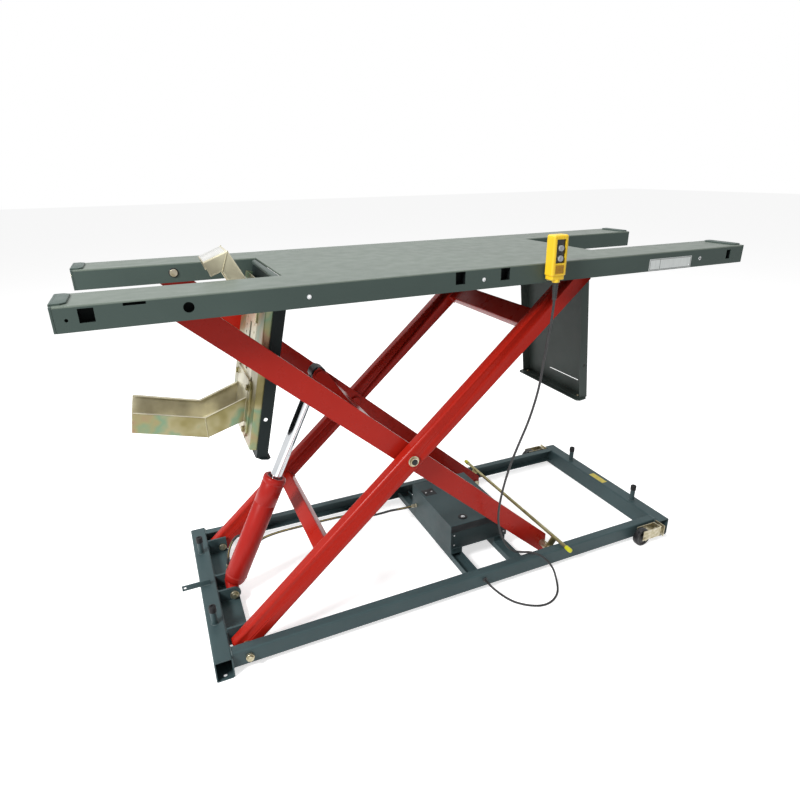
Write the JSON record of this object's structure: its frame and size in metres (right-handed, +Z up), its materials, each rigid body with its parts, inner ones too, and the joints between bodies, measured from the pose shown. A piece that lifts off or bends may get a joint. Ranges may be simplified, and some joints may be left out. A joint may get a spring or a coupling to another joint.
{
  "type": "motorcycle_lift",
  "caption": "Electro-hydraulic scissor lift for motorcycles: platform with end slots, hinged flaps and wheel chock, hand control on a cable.",
  "frame": {"origin": "On the floor, under the middle of the raised platform.", "axes": "X runs along the platform, from the wheel chock end to the caster end; Y runs across it, away from the hand control; Z is up."},
  "size_m": [2.2, 0.9422, 1.27],
  "materials": {
    "frame_paint": "satin",
    "red_paint": "satin",
    "yellow_zinc": "satin",
    "bright_steel": "satin",
    "chromed_rod": "gloss",
    "black_cast": "satin",
    "black_plastic": "matte",
    "black_rubber": "matte",
    "yellow_plastic": "satin",
    "label_white": "matte",
    "tank_sheet": "satin"
  },
  "bodies": {
    "base": {"base_front_beam": "frame_paint", "base_rear_beam": "frame_paint", "base_rail_near": "frame_paint", "base_rail_far": "frame_paint", "base_cross_rails": "frame_paint", "foot_tray": "frame_paint", "base_pivot_pins": "bright_steel", "support_posts": "frame_paint", "caster_plates": "yellow_zinc", "power_unit_cover": "frame_paint", "electric_motor": "black_cast", "gear_pump": "bright_steel", "oil_tank": "tank_sheet", "hydraulic_hose": "black_rubber", "cord_grommet": "black_plastic", "cord_floor_loop": "black_rubber"},
    "outer_arms": {"outer_arm_near": "red_paint", "outer_arm_far": "red_paint", "outer_cross_tubes": "red_paint", "centre_pivot_bolts": "bright_steel", "upper_roller_axles": "bright_steel"},
    "inner_arms": {"inner_arm_near": "red_paint", "inner_arm_far": "red_paint", "inner_cross_members": "red_paint", "rod_eye_ribs": "red_paint", "lower_roller_axles": "bright_steel"},
    "platform": {"deck_sheet": "frame_paint", "side_skirt_near": "frame_paint", "side_skirt_far": "frame_paint", "slot_skirts": "frame_paint", "end_caps": "black_plastic", "roller_tracks": "frame_paint", "platform_pivot_lugs": "frame_paint", "platform_pins": "bright_steel", "deck_label": "label_white", "control_housing": "yellow_plastic", "control_face": "black_plastic", "cord_relief": "black_plastic", "cord_hanging": "black_rubber"},
    "front_flap": {"front_flap": "frame_paint", "chock_rail": "yellow_zinc", "chock_upper_arm": "yellow_zinc"},
    "chock": {"chock_base_plate": "yellow_zinc", "chock_lower_arm": "yellow_zinc"},
    "rear_flap": {"rear_flap": "frame_paint"},
    "barrel": {"cylinder_barrel": "red_paint"},
    "rod": {"cylinder_rod": "chromed_rod", "rod_eye": "black_cast"},
    "safety_bar": {"safety_bar": "yellow_zinc", "safety_bar_caps": "yellow_plastic"},
    "control_button_up": {"control_button_up": "black_plastic"},
    "control_button_down": {"control_button_down": "black_plastic"},
    "upper_roller_near": {"upper_roller_near": "bright_steel"},
    "upper_roller_far": {"upper_roller_far": "bright_steel"},
    "lower_roller_near": {"lower_roller_near": "bright_steel"},
    "lower_roller_far": {"lower_roller_far": "bright_steel"},
    "caster_fork_near": {"caster_fork_near": "yellow_zinc"},
    "caster_fork_far": {"caster_fork_far": "yellow_zinc"},
    "caster_wheel_near": {"caster_wheel_near": "black_rubber"},
    "caster_wheel_far": {"caster_wheel_far": "black_rubber"}
  },
  "joints": [
    {"name": "lift", "type": "hinge", "parent": "base", "child": "outer_arms", "pos_m": [-0.789, 0, 0.05], "axis": [0, 1, 0], "range_deg": [0, 37.92], "deforming": ["cord_hanging"]},
    {"name": "scissor", "type": "hinge", "parent": "outer_arms", "child": "inner_arms", "pos_m": [-0.197, 0, 0.577], "axis": [0, 1, 0], "range_deg": [-75.84, 0]},
    {"name": "platform_pivot", "type": "hinge", "parent": "inner_arms", "child": "platform", "pos_m": [-0.81, 0, 1.156], "axis": [0, 1, 0], "range_deg": [0, 37.92]},
    {"name": "cylinder_foot", "type": "hinge", "parent": "base", "child": "barrel", "pos_m": [-0.789, 0, 0.05], "axis": [0, 1, 0], "range_deg": [0, 51]},
    {"name": "rod_slide", "type": "slide", "parent": "barrel", "child": "rod", "axis": [0.4394, 0, 0.8983], "range_m": [-0.36966, 0]},
    {"name": "front_flap_hinge", "type": "hinge", "parent": "platform", "child": "front_flap", "pos_m": [-0.552, 0, 1.172], "axis": [0, 1, 0], "range_deg": [0, 77.7]},
    {"name": "rear_flap_hinge", "type": "hinge", "parent": "platform", "child": "rear_flap", "pos_m": [0.543, 0, 1.172], "axis": [0, -1, 0], "range_deg": [0, 83.6]},
    {"name": "chock_slide", "type": "slide", "parent": "front_flap", "child": "chock", "axis": [-0.213, 0, -0.977], "range_m": [-0.024, 0.024]},
    {"name": "upper_roller_near_spin", "type": "hinge", "parent": "outer_arms", "child": "upper_roller_near", "pos_m": [0.416, -0.331, 1.156], "axis": [0, 1, 0], "continuous": true},
    {"name": "upper_roller_far_spin", "type": "hinge", "parent": "outer_arms", "child": "upper_roller_far", "pos_m": [0.416, 0.331, 1.156], "axis": [0, 1, 0], "continuous": true},
    {"name": "lower_roller_near_spin", "type": "hinge", "parent": "inner_arms", "child": "lower_roller_near", "pos_m": [0.395, -0.344, 0.05], "axis": [0, 1, 0], "continuous": true},
    {"name": "lower_roller_far_spin", "type": "hinge", "parent": "inner_arms", "child": "lower_roller_far", "pos_m": [0.395, 0.344, 0.05], "axis": [0, 1, 0], "continuous": true},
    {"name": "caster_swivel_near", "type": "hinge", "parent": "base", "child": "caster_fork_near", "pos_m": [0.879, -0.392, 0.052], "axis": [-1, 0, 0], "range_deg": [0, 90]},
    {"name": "caster_spin_near", "type": "hinge", "parent": "caster_fork_near", "child": "caster_wheel_near", "pos_m": [0.8, -0.392, 0.0375], "axis": [0, 1, 0], "continuous": true},
    {"name": "caster_swivel_far", "type": "hinge", "parent": "base", "child": "caster_fork_far", "pos_m": [0.879, 0.392, 0.052], "axis": [1, 0, 0], "range_deg": [0, 90]},
    {"name": "caster_spin_far", "type": "hinge", "parent": "caster_fork_far", "child": "caster_wheel_far", "pos_m": [0.8, 0.392, 0.0375], "axis": [0, 1, 0], "continuous": true},
    {"name": "safety_bar_swing", "type": "hinge", "parent": "inner_arms", "child": "safety_bar", "pos_m": [0.395, 0, 0.05], "axis": [0, -1, 0], "range_deg": [0, 12]},
    {"name": "button_up_press", "type": "slide", "parent": "platform", "child": "control_button_up", "axis": [0, 1, 0], "range_m": [0, 0.002], "stiffness_N_per_m": 800, "springref_m": -0.0005},
    {"name": "button_down_press", "type": "slide", "parent": "platform", "child": "control_button_down", "axis": [0, 1, 0], "range_m": [0, 0.002], "stiffness_N_per_m": 800, "springref_m": -0.0005}
  ],
  "couplings": [
    {"joint": "scissor", "follows": "lift", "ratio": -2},
    {"joint": "platform_pivot", "follows": "lift", "ratio": 1},
    {"joint": "cylinder_foot", "follows": "lift", "ratio": 1.345},
    {"joint": "rod_slide", "follows": "lift", "m_per_rad": -0.55858},
    {"joint": "front_flap_hinge", "follows": "lift", "ratio": 2.0492},
    {"joint": "rear_flap_hinge", "follows": "lift", "ratio": 2.2048}
  ]
}
